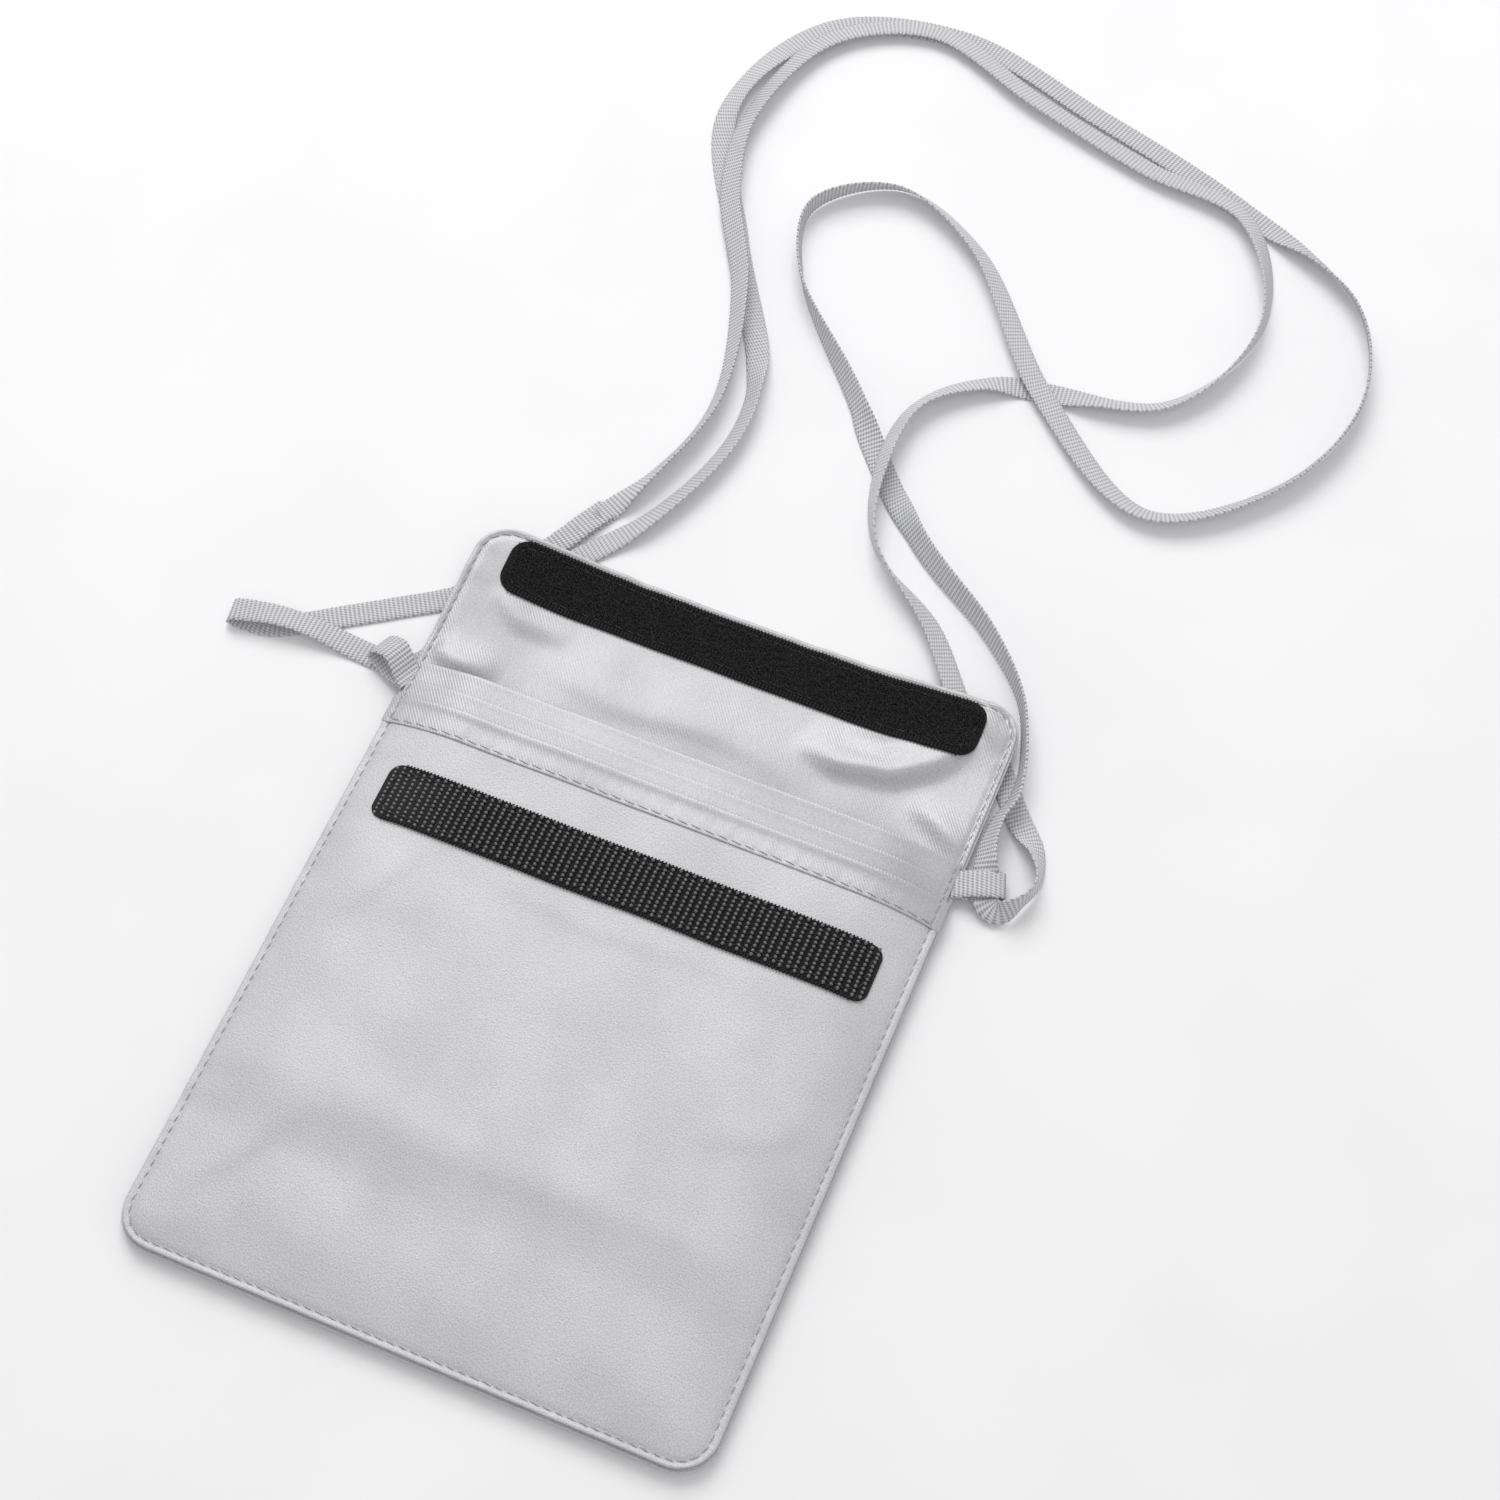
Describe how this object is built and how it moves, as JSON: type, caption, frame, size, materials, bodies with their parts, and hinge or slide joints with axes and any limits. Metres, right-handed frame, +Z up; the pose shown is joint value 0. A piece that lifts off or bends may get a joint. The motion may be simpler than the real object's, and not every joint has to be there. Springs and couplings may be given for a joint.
{
  "type": "neck pouch wallet",
  "caption": "Flat fabric travel pouch worn round the neck: layered pockets, a fold-over flap closed by hook and loop strips, side loops and a long ribbon strap.",
  "frame": {"origin": "on the table, under the middle of the open pouch's outline seen from above", "axes": "+Y from the bottom seam to the tip of the open flap, +X to the pouch's right, +Z up, the pouch lying on its back"},
  "size_m": [0.2097, 0.3451, 0.0098],
  "materials": {
    "shell_fabric": "matt, fine crepe grain, light silver grey",
    "lining_satin": "satin sheen, fine diagonal twill, light silver grey",
    "ribbon": "cross-ribbed woven ribbon, light grey",
    "grey_thread": "twisted sewing thread, mid grey",
    "black_thread": "twisted sewing thread, black",
    "hook_tape": "black woven tape with rows of stiff monofilament hooks that glint",
    "loop_tape": "black brushed loop pile, very matt"
  },
  "bodies": {
    "pouch": {"back_panel": "shell_fabric", "back_lining": "lining_satin", "rear_divider": "lining_satin", "front_divider": "lining_satin", "front_panel": "shell_fabric", "front_hem_band": "lining_satin", "hook_strip": "hook_tape", "seam_thread": "grey_thread", "hem_thread": "grey_thread", "hook_strip_thread": "black_thread", "left_side_loop": "ribbon", "right_side_loop": "ribbon", "strap_inner_run": "ribbon", "strap_right_turn": "ribbon", "strap_outer_run": "ribbon", "strap_left_turn": "ribbon", "strap_end_fold": "ribbon", "strap_return": "ribbon", "splice_thread": "grey_thread"},
    "flap": {"flap_panel": "shell_fabric", "flap_lining": "lining_satin", "loop_strip": "loop_tape", "flap_seam_thread": "grey_thread", "loop_strip_thread": "black_thread"}
  },
  "joints": [
    {"name": "flap_fold", "type": "hinge", "parent": "pouch", "child": "flap", "pos_m": [0, 0.04875, 0.0071], "axis": [1, 0, 0], "range_deg": [0, 178]}
  ]
}
